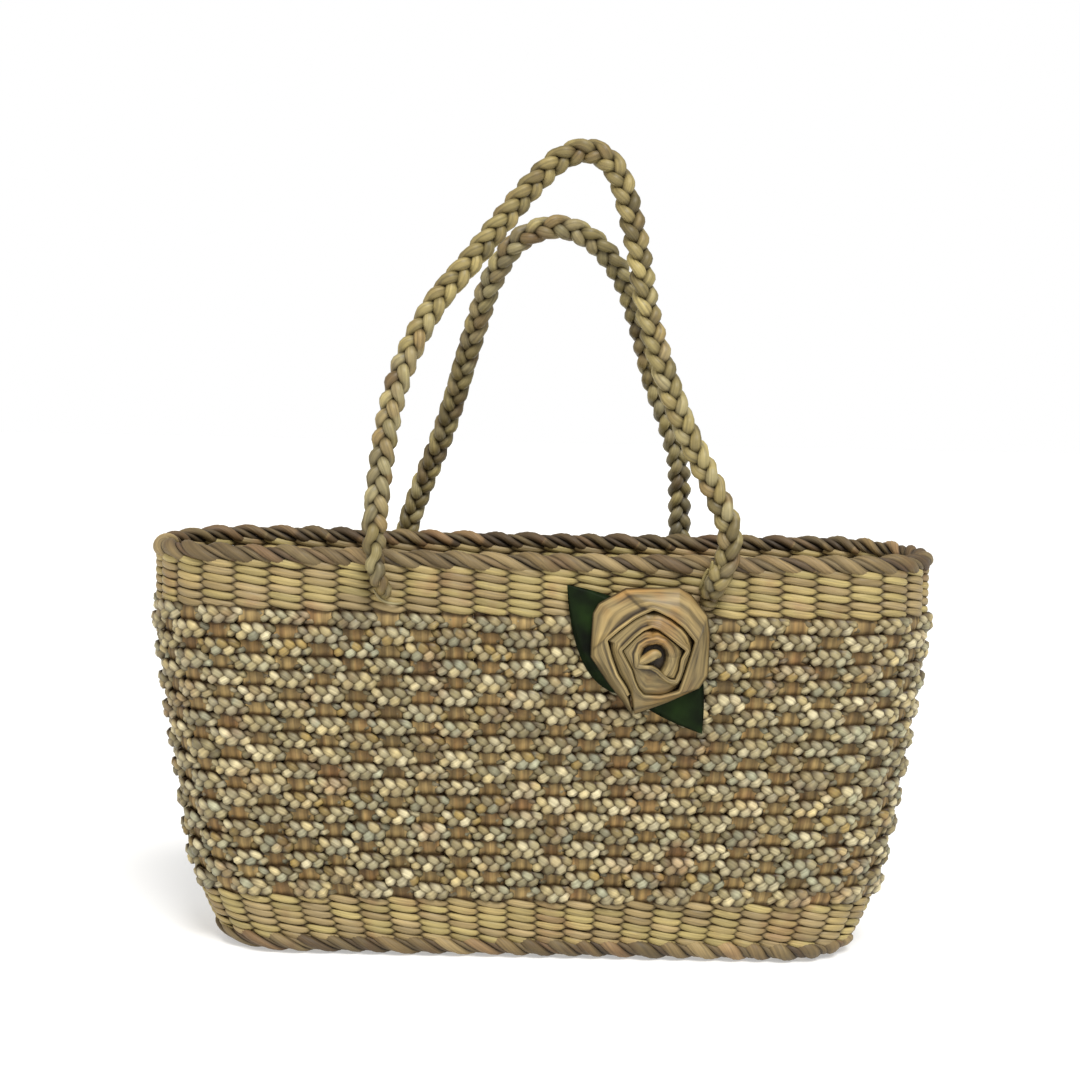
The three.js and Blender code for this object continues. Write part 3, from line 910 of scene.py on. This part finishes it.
# Strand ends left over at the front handle's ends, wound round it and tucked back into the band. Six
# points each: from side to side, to the back and up
bound_ends = np.array(
    [
        [
            [-92, -70, 210], [-90.5, -69, 207], [-88.3, -68, 204],
            [-84, -67.6, 201.6], [-78.4, -67, 201.3], [-76, -62, 201.5],
        ],
        [
            [-93, -71, 237], [-95, -75, 234], [-92.3, -78, 227],
            [-89.4, -79, 217.5], [-87, -76, 211], [-86, -67, 207],
        ],
        [
            [91, -81, 230], [90.9, -78, 226], [90.4, -75, 221.5],
            [91.6, -71, 216.6], [92, -67, 214], [92, -62, 213],
        ],
        [
            [89.5, -75, 225], [88.6, -72, 222], [87.6, -70, 219],
            [86.6, -68, 215], [86.2, -66, 212.5], [86, -61, 211],
        ],
        [
            [95, -78, 232], [95.5, -77.5, 225], [93.5, -75.5, 218.4],
            [90, -72, 212], [91, -69, 207.5], [92.2, -62, 204.7],
        ],
        [
            [88.5, -63, 213.2], [90, -69, 213.8], [92, -71.5, 214.4],
            [94, -71.5, 214.4], [96, -69, 213.8], [97.5, -63, 213],
        ],
        [
            [86.5, -63, 205.4], [88, -68, 205.2], [90, -70, 205],
            [92, -70, 204.8], [94, -68, 204.6], [95.5, -63, 204.2],
        ],
    ],
    float,
)
# Half thickness, tint and tone of each of them
bound_half, bound_tint, bound_tone = np.array(
    [
        [0.75, 0.75, 0.8],
        [0.95, 0.45, 0.75],
        [1.05, 0.5, 0.75],
        [1.05, 0.55, 0.8],
        [1.25, 0.25, 0.4],
        [1.9, 0.6, 0.6],
        [2.0, 0.2, 0.35],
    ]
).T[..., None]
at = np.linspace(0, 5, 31)
bound_line = np.stack(
    [smoothed(read_between(at, np.arange(6), path), np.full(7, 1 / 7)) for path in bound_ends]
)
bound_half = bound_half * (1 - 0.45 * np.abs(at / 2.5 - 1) ** 3)
bound_rings = strand_rings(
    bound_line, np.gradient(bound_line, axis=1), [0, -1, 0], bound_half, 0.85 * bound_half, 8
)
bindings = lay_strands(
    "handle_bindings",
    bound_rings,
    {"tint": bound_tint[..., None], "tone": bound_tone[..., None], "painted_shade": 0.92},
    step=1.0,
    girth=6,
    endless=False,
)
bindings.data.materials.append(handle_straw)
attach(bindings, "root")


# Rose. One wide flat ribbon of rush is folded lengthwise and wound outwards in a spiral from a rolled
# heart, turned at four or five corners a round, and stitched to the wall from behind. Each turn has a
# raised, rolled lip, slopes outwards and tucks into the dark pocket behind the next lip.
ROSE_ACROSS = 62.0
ROSE_HEIGHT = 171.8
ROSE_BACK = 2.5
BRAID_CREST = 6.5
ROSE_MIDDLE = (-2.0, 6.0, 0.0)
RIBBON_END = 961.0
WOUND_STEP = 1.5
PETAL_SLANT = 14.0

# Degrees wound from the heart, then the lip's distance from the middle and its height. Between two
# rows the lip runs straight
fold_table = np.array(
    [
        [-56, 11.8, 14.0],
        [-38, 10.8, 15.0],
        [-17, 10.2, 15.6],
        [8, 10.4, 16.0],
        [30, 10.4, 16.2],
        [56, 10.5, 16.4],
        [80, 9.9, 16.4],
        [113, 9.2, 16.4],
        [139, 9.4, 16.2],
        [172, 8.9, 16.0],
        [212, 9.9, 15.8],
        [234, 6.9, 15.6],
        [265, 5.9, 15.4],
        [289, 8.2, 15.0],
        [297, 11.1, 14.8],
        [305, 16.0, 14.6],
        [314, 18.8, 14.4],
        [333, 17.1, 14.4],
        [355, 16.2, 14.4],
        [371, 19.2, 14.3],
        [405, 14.6, 14.4],
        [437, 15.6, 14.4],
        [452, 16.6, 14.3],
        [470, 15.6, 14.0],
        [492, 14.7, 13.8],
        [531, 17.6, 13.4],
        [547, 15.0, 13.2],
        [576, 14.2, 12.8],
        [595, 17.1, 12.2],
        [607, 20.0, 11.6],
        [619, 22.8, 11.0],
        [642, 23.2, 10.8],
        [668, 25.0, 10.8],
        [684, 21.7, 11.2],
        [703, 20.5, 11.6],
        [728, 22.6, 11.6],
        [739, 25.2, 11.4],
        [764, 23.6, 11.6],
        [784, 23.6, 11.8],
        [802, 24.9, 11.8],
        [810, 25.9, 11.6],
        [823, 23.8, 11.4],
        [836, 23.0, 11.2],
        [863, 23.3, 10.8],
        [883, 26.5, 10.2],
        [906, 22.4, 10.6],
        [930, 21.8, 10.6],
        [954, 23.4, 10.2],
        [961, 25.5, 9.4],
    ]
)
# Degrees round the rose, then the outer edge's distance from the middle
outline_table = np.array(
    [
        [0, 31.8],
        [19.5, 33.8],
        [35.2, 37.2],
        [56.8, 38.9],
        [68.6, 39.5],
        [112.6, 38.8],
        [137.6, 40.1],
        [146.6, 39.1],
        [170.6, 33.8],
        [184.8, 33.5],
        [214.3, 29.1],
        [238.6, 30.9],
        [254.1, 36.4],
        [289.7, 29.0],
        [324.6, 33.0],
        [339.8, 33.7],
        [360, 31.8],
    ]
)


def edge_radius(table, angle):
    """Radius at an angle on the polygon whose corners are the table's rows: on the straight edge
    between two corners, one over the radius runs as a wave of the angle."""
    corner_angle, corner_radius = np.radians(table[:, 0]), table[:, 1]
    at = np.clip(np.searchsorted(corner_angle, angle, side="right") - 1, 0, len(table) - 2)
    a, b = corner_angle[at], corner_angle[at + 1]
    reach_a, reach_b = corner_radius[at], corner_radius[at + 1]
    angle = np.clip(angle, a, b)
    return reach_a * reach_b * np.sin(b - a) / (reach_a * np.sin(angle - a) + reach_b * np.sin(b - angle))


def near(angle, places, width):
    """1 at the nearest of some angles, falling off as a bell of that width, in degrees."""
    return np.exp(-((np.abs(np.subtract.outer(angle, places)).min(axis=-1) / width) ** 2))


# Khaki rush ribbon with fine parallel veins, golden where it has been pressed, with a painted highlight
# on its lips
ribbon_straw = dried_straw(
    "folded_rush_ribbon",
    ["#7D6B46", "#8C794E", "#998659", "#8B7448"],
    "#94682E",
    "#1C1107",
    roughness=0.5,
    fibre=0.95,
    streak=0.55,
)

# Lips of the ribbon in degrees wound, and one more turn for the outer edge
wound = np.arange(fold_table[0, 0], RIBBON_END + 0.1, WOUND_STEP)
wide_wound = np.arange(fold_table[0, 0], RIBBON_END + 363, WOUND_STEP)
is_last = wide_wound > RIBBON_END
angle = np.radians(wide_wound)
reach = np.where(is_last, 0, edge_radius(fold_table, angle))
reach[~is_last] = smoothed(reach[~is_last], [0.1, 0.22, 0.36, 0.22, 0.1])
edge_angle = angle + np.radians(PETAL_SLANT)
edge_reach = edge_radius(outline_table, edge_angle % (2 * np.pi))
lip_line = np.stack([reach * np.cos(angle), reach * np.sin(angle)], axis=-1)
edge_line = np.stack([edge_reach * np.cos(edge_angle), edge_reach * np.sin(edge_angle)], axis=-1)


def outward(line):
    """Unit vectors that point outwards from a line that runs round anticlockwise: its direction,
    turned a quarter clockwise."""
    ahead = np.gradient(line, axis=0)
    ahead /= np.linalg.norm(ahead, axis=1, keepdims=True)
    return np.stack([ahead[:, 1], -ahead[:, 0]], axis=-1)


# Here is a point on a lip, and there is what it slopes out to: the lip one turn on, or the outer edge
count = len(wound)
one_turn_on = slice(round(360 / WOUND_STEP), round(360 / WOUND_STEP) + count)
lip_out = np.zeros_like(lip_line)
lip_out[~is_last] = outward(lip_line[~is_last])
outer = is_last[one_turn_on]
here, here_out = lip_line[:count], lip_out[:count]
there = np.where(outer[:, None], edge_line[:count], lip_line[one_turn_on])
there_out = np.where(outer[:, None], outward(edge_line)[:count], lip_out[one_turn_on])
lip_height = np.interp(wide_wound, fold_table[:, 0], fold_table[:, 2])
height, next_height = lip_height[:count], lip_height[one_turn_on]
lip_width = np.interp(wound, [200, 330], [1.45, 1.0])
next_width = np.where(outer, 0.0, np.interp(wound + 360, [200, 330], [1.45, 1.0]))

# Sides of the ribbon that tuck in under the lip before, so that the dark line lies outside that lip
tucked = smooth_step(wound, 95, 120) - smooth_step(wound, 290, 305)
tucked = tucked + smooth_step(wound, 456, 462) - smooth_step(wound, 520, 530)
tucked = tucked + smooth_step(wound, 814, 820) - smooth_step(wound, 868, 880)
corners = [371, 452, 531, 600, 668, 739, 810, 883]
pocket = np.where(outer, 1.1, 0.35 + 2.3 * near(wound + 360, corners, 8.0) * (1 - tucked))
slope_end = np.where(outer, 3.4, next_height - 2.6 + 1.2 * tucked)
behind_lip = height - 0.9 - 2.0 * tucked
step_up = 1.0 * smooth_step(wound, 667, 669) * (1 - smooth_step(wound, 738, 740))
step_up = step_up + 1.7 * smooth_step(wound, 745, 815) * (1 - smooth_step(wound, 820, 822))
step_up = step_up + 1.6 * smooth_step(wound, 900, 955)

# Section of the ribbon, once round from the foot of the lip's inner side: share of the way from this
# lip to the next edge, and lip widths outwards from here
section_share = np.array([0, 0, 0, 0, 0, 0, 0.22, 0.5, 0.8, 1, 1, 1, 0])
section_lip = np.array([-0.9, -1.0, -0.75, -0.05, 0.7, 1.15, 0, 0, 0, 0, 0, 0, -0.9])
share = section_share[None, :, None]
from_lip = here[:, None] + here_out[:, None] * (lip_width[:, None] * section_lip)[..., None]
heart = 1 - smooth_step(wound, 180, 260)
from_lip[:, 0] -= here_out * (2.2 * heart)[:, None]
from_lip[:, 1] -= here_out * (0.9 * heart)[:, None]
slope_from = here + here_out * (1.15 * lip_width)[:, None]
slope_to = there - there_out * (next_width + pocket)[:, None]
on_slope = slope_from[:, None] * (1 - share) + slope_to[:, None] * share
flat = np.where(share > 0, on_slope, from_lip)
flat[:, 10] = there - there_out * (0.85 * next_width + 0.25)[:, None]
flat[:, 11] = there - there_out * (0.85 * next_width + 0.6)[:, None]
fall = (behind_lip - slope_end)[:, None]
fall_share = np.where(outer[:, None], [0.1, 0.32, 0.66], [0.18, 0.5, 0.82])
rise = np.empty((count, len(section_share)))
rise[:, :5] = height[:, None] + [-6.5, -2.0, -0.4, 0.0, -0.3]
rise[:, 5] = behind_lip
rise[:, 6:9] = behind_lip[:, None] - fall * fall_share + step_up[:, None] * [0.6, 1.0, 1.0]
rise[:, 9] = slope_end + step_up * 0.8
rise[:, 10] = np.where(outer, 2.0, slope_end - 2.2)
rise[:, 11:] = np.where(outer, 0.4, slope_end - 4.0)[:, None]
rise = np.maximum(rise, 0.3)
rose_points = np.concatenate([flat, rise[..., None] + ROSE_BACK], axis=-1)

# Its back lies on the crests of the braid, turned and leaned as the wall is there
length_here, depth_here, _, bow_here = (float(value) for value in wall_section(ROSE_HEIGHT))
depth_above, depth_below = (float(wall_section(ROSE_HEIGHT + away)[1]) for away in (23, -23))
turn_out = np.arctan(2 * bow_here * ROSE_ACROSS / length_here**2)
lean_out = np.arctan((depth_above - depth_below) / 46)
rose_turn = np.array(Matrix.Rotation(np.pi / 2 + lean_out, 3, "X") @ Matrix.Rotation(turn_out, 3, "Y"))
wall_out = depth_here + bow_here * (1 - (ROSE_ACROSS / length_here) ** 2)
rose_place = np.array([ROSE_ACROSS, -(wall_out + BRAID_CREST), ROSE_HEIGHT])

# Each flat side between two corners has its own tint and tone
rng = np.random.default_rng(57)
side_at = np.searchsorted([0, 60, 130, 200, 250, 314, 371, 452, 531, 600, 668, 739, 821, 883], wound)
side_tone = smoothed(rng.uniform(0.35, 0.85, 15)[side_at], np.full(5, 0.2))
side_tint = rng.uniform(0.1, 0.9, 15)[side_at]
# Painted shade: the pockets, the foot of each lip and the slopes near the outer folds darken towards the
# gap colour, more where a side tucks under, and less on the heart's inner wall; the ribbon's last strip,
# from 893 degrees wound, is darkened too
fold_line = near(wound, [668, 739, 821, 883], 1.6) * outer
section_painted_shade = np.array([0.05, 0.4, 0.95, 1, 1, 0.6, 0.85, 1, 0.95, 0.7, 0.05, 0.0, 0.0])
rose_painted_shade = np.tile(section_painted_shade, (count, 1))
rose_painted_shade[:, 5] -= 0.75 * tucked
rose_painted_shade[:, 6:9] -= 0.55 * fold_line[:, None]
rose_painted_shade[:, 9] = np.where(outer, 0.85, 0.45 + 0.3 * tucked)
rose_painted_shade[:, 8:10] -= 0.5 * smooth_step(wound, 893, 903)[:, None]
rose_painted_shade[:, :2] += 0.25 * heart[:, None]
# Painted highlight: the lips are made paler in tone, waving along the ribbon
painted_lip_highlight = np.array([0, 0, 0.1, 0.3, 0.2, 0, 0, 0, 0, 0, 0, 0, 0])
rose_skin = {
    "tint": side_tint[:, None],
    "tone": np.clip(side_tone[:, None] + painted_lip_highlight * (0.6 + 0.4 * np.sin(wound / 9))[:, None], 0, 1),
    "painted_shade": np.clip(rose_painted_shade, 0, 1),
}

# The heart is the ribbon's rolled start, a tapered roll that leans across a cup painted dark as shade:
# three places and the half thickness
roll_knots = np.array(
    [
        [-8.6, -4.4, 12.6, 1.2],
        [-6.6, -3.1, 13.0, 1.8],
        [-4.4, -1.8, 13.2, 2.3],
        [-2.3, -0.4, 13.2, 2.6],
        [-0.6, 0.7, 13.2, 2.7],
        [1.0, 1.4, 13.1, 2.6],
        [2.4, 1.2, 12.9, 2.3],
        [3.3, 0.4, 12.5, 1.7],
        [3.6, -0.5, 12.2, 0.7],
    ]
)
at = np.linspace(0, len(roll_knots) - 1, 41)
roll = smoothed(read_between(at, np.arange(len(roll_knots)), roll_knots), np.full(5, 0.2))
roll_line, roll_half = roll[:, :3] + [0, 0, ROSE_BACK], 1.15 * roll[:, 3]
roll_rings = strand_rings(
    roll_line, np.gradient(roll_line, axis=0), [0, 0, 1], roll_half, roll_half, 14
)
# Painted shade: the roll darkens on its underside
roll_painted_shade = smooth_step(roll_rings[..., 2] - roll_line[:, 2:], -1.6, 1.2)
roll_skin = {"tint": 0.75, "tone": 0.75 + 0.25 * np.sin(at)[:, None] ** 2, "painted_shade": roll_painted_shade}

# Radius and height of the cup, from its foot up its side and in over its floor
cup_profile = np.array([[10.2, 1.0], [10.2, 6.5], [9.2, 8.6], [6.5, 9.8], [3.5, 10.3], [0.6, 10.5]])
cup_angle = 2 * np.pi * np.arange(20) / 20
cup_rings = np.stack(
    np.broadcast_arrays(
        cup_profile[:, :1] * np.cos(cup_angle) + 0.5,
        cup_profile[:, :1] * np.sin(cup_angle) - 1.0,
        cup_profile[:, 1:] + ROSE_BACK,
    ),
    axis=-1,
)
# Painted shade: the cup is painted almost all in the gap colour
cup_skin = {"tint": 0.2, "tone": 0.3, "painted_shade": 0.12}

for name, rings, skin, step, girth in (
    ("ribbon_rose", rose_points, rose_skin, 0.9, 30),
    ("rose_heart_roll", roll_rings, roll_skin, 0.5, 15),
    ("rose_cup", cup_rings, cup_skin, 2.0, 60),
):
    placed = (rings + ROSE_MIDDLE) @ rose_turn.T + rose_place
    ribbon = lay_strands(name, placed[None], skin, step=step, girth=girth, endless=False)
    ribbon.data.materials.append(ribbon_straw)
    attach(ribbon, "root")
    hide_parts("rose")


# Leaves. Two leaves cut from dark green satin, pressed into ribs, lie behind the rose with their tips
# out to the upper left and the lower right.
LEAF_LENGTH = 78.0
LEAF_WIDTH = 46.0
LEAF_THICKNESS = 0.75
RIB_SPACING = 4.6
ROSE_HALF = 33.6

# Satin-woven polyester: almost black green with a soft sheen, and cloudy patches of brighter green
# painted on as highlights
leaf_satin = bpy.data.materials.new("green_satin")
leaf_satin.use_nodes = True
tree = leaf_satin.node_tree
tree.nodes.clear()
place = add_node(tree, "ShaderNodeTexCoord")
clouds = add_node(
    tree, "ShaderNodeTexNoise", {"Vector": place.outputs["Object"], "Scale": 60.0, "Detail": 2.0}
)
threads = add_node(
    tree,
    "ShaderNodeTexWave",
    {"Vector": place.outputs["Object"], "Scale": 600.0, "Distortion": 0.5},
    bands_direction="DIAGONAL",
)
# Painted highlight: the brighter green patches stand in for light on the satin
green_and_painted_highlight = add_node(tree, "ShaderNodeValToRGB", {"Fac": clouds.outputs["Fac"]})
green_and_painted_highlight.color_ramp.elements[0].position = 0.35
green_and_painted_highlight.color_ramp.elements[0].color = linear("#070B04")
green_and_painted_highlight.color_ramp.elements[1].position = 0.72
green_and_painted_highlight.color_ramp.elements[1].color = linear("#1B2C0E")
relief = add_node(
    tree, "ShaderNodeBump", {"Height": threads.outputs["Fac"], "Strength": 0.25, "Distance": 0.0002}
)
shader = add_node(
    tree,
    "ShaderNodeBsdfPrincipled",
    {
        "Base Color": green_and_painted_highlight.outputs["Color"],
        "Roughness": 0.55,
        "Specular IOR Level": 0.08,
        "Normal": relief.outputs["Normal"],
    },
)
add_node(tree, "ShaderNodeOutputMaterial", {"Surface": shader.outputs["BSDF"]})

# Section of a blade, once round: shares of its half width, the underside first
blade_across = np.array(
    [-1, -0.75, -0.5, -0.25, 0, 0.25, 0.5, 0.75, 1, 0.75, 0.5, 0.25, 0, -0.25, -0.5, -0.75]
)
is_top = np.arange(len(blade_across)) > 8

for name, across, up, degrees, layer in (
    ("leaf_upper", -1.446, 1.256, 132, 0.35),
    ("leaf_lower", 0.804, -1.155, -56.5, 1.45),
):
    t = np.linspace(0, 1, 49)
    blade = 2 * t * (1 - t) * LEAF_LENGTH / 4 + t**2 * LEAF_LENGTH
    half = 2 * t * (1 - t) * LEAF_WIDTH
    sideways = half[:, None] * blade_across
    ribs = 0.28 * np.sin(2 * np.pi * (blade[:, None] - 0.55 * np.abs(sideways)) / RIB_SPACING)
    ribs = ribs * smooth_step(np.abs(blade_across), 0.0, 0.25)
    ribs = ribs + 0.35 * np.exp(-((blade_across / 0.09) ** 2))
    height = layer + LEAF_THICKNESS * is_top + ribs * np.clip(half / 6, 0, 1)[:, None] * 0.8
    way = np.radians(degrees)
    tip = ROSE_HALF * np.array([across, up])
    ahead = np.array([np.cos(way), np.sin(way)])
    beside = np.array([-np.sin(way), np.cos(way)])
    flat = tip + (blade[:, None, None] - LEAF_LENGTH) * ahead + sideways[..., None] * beside
    leaf_points = np.concatenate([flat, height[..., None]], axis=-1) @ rose_turn.T + rose_place
    leaf = lay_strands(name + "_satin", leaf_points[None], {}, step=1.6, girth=60, endless=False)
    leaf.data.materials.append(leaf_satin)
    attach(leaf, "root")
    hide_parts(name)


# Floor, light and camera. A light table of opal acrylic with its own faint glow, so that the shadow
# stays pale, a white room, one broad soft light from the upper right, a weak warm one from the left,
# and the photograph's viewpoint, a little above the rim.
floor_mesh = bpy.data.meshes.new("floor")
floor_mesh.from_pydata([(-6, -6, 0), (6, -6, 0), (6, 6, 0), (-6, 6, 0)], [], [(0, 1, 2, 3)])
floor = bpy.data.objects.new("floor", floor_mesh)
bpy.context.scene.collection.objects.link(floor)
opal_acrylic = bpy.data.materials.new("opal_acrylic")
opal_acrylic.use_nodes = True
tree = opal_acrylic.node_tree
tree.nodes.clear()
shader = add_node(
    tree,
    "ShaderNodeBsdfPrincipled",
    {
        "Base Color": linear("#CFCFCE"),
        "Roughness": 0.9,
        "Specular IOR Level": 0.1,
        "Emission Color": (1, 1, 1, 1),
        "Emission Strength": 0.4,
    },
)
add_node(tree, "ShaderNodeOutputMaterial", {"Surface": shader.outputs["BSDF"]})
floor_mesh.materials.append(opal_acrylic)

world = bpy.data.worlds.new("white_room")
world.use_nodes = True
tree = world.node_tree
tree.nodes.clear()
# The camera sees a plain white ground, and the bag is lit by a softer one
seen = add_node(tree, "ShaderNodeBackground", {"Color": (1, 1, 1, 1), "Strength": 1.0})
glow = add_node(tree, "ShaderNodeBackground", {"Color": (1, 1, 1, 1), "Strength": 0.62})
path = add_node(tree, "ShaderNodeLightPath")
room = add_node(
    tree,
    "ShaderNodeMixShader",
    {0: path.outputs["Is Camera Ray"], 1: glow.outputs["Background"], 2: seen.outputs["Background"]},
)
add_node(tree, "ShaderNodeOutputWorld", {"Surface": room.outputs["Shader"]})
bpy.context.scene.world = world

for name, away, colour, power, width in (
    ("key_light", (0.2, -0.6, 0.78), (1.0, 0.99, 0.97), 3.1, 25),
    ("fill_light", (-0.75, -0.6, 0.3), (1.0, 0.86, 0.66), 0.6, 60),
):
    lamp = bpy.data.lights.new(name, "SUN")
    lamp.energy = power
    lamp.angle = np.radians(width)
    lamp.color = colour
    light = bpy.data.objects.new(name, lamp)
    bpy.context.scene.collection.objects.link(light)
    away = np.array(away) / np.linalg.norm(away)
    right = np.cross([0, 0, 1], away)
    right /= np.linalg.norm(right)
    axes = np.stack([right, np.cross(away, right), away, away * 3], axis=1)
    light.matrix_world = Matrix(np.vstack([axes, [0, 0, 0, 1]]).tolist())

# The viewpoint in metres, looking down by the pitch and rolled a little, as worked out from the photo
VIEWPOINT = [-0.0018, -1.185, 0.3435]
PITCH = np.radians(5.4)
ROLL = np.radians(1.15)
forward = np.array([0, np.cos(PITCH), -np.sin(PITCH)])
level_right = np.array([1.0, 0, 0])
level_up = np.cross(level_right, forward)
right = np.cos(ROLL) * level_right + np.sin(ROLL) * level_up
up = -np.sin(ROLL) * level_right + np.cos(ROLL) * level_up
camera = bpy.data.objects.new("camera", bpy.data.cameras.new("camera"))
bpy.context.scene.collection.objects.link(camera)
camera.data.sensor_width = 36
camera.data.lens = 68.87
axes = np.stack([right, up, -forward, VIEWPOINT], axis=1)
camera.matrix_world = Matrix(np.vstack([axes, [0, 0, 0, 1]]).tolist())
bpy.context.scene.camera = camera
bpy.context.scene.view_settings.view_transform = "Standard"
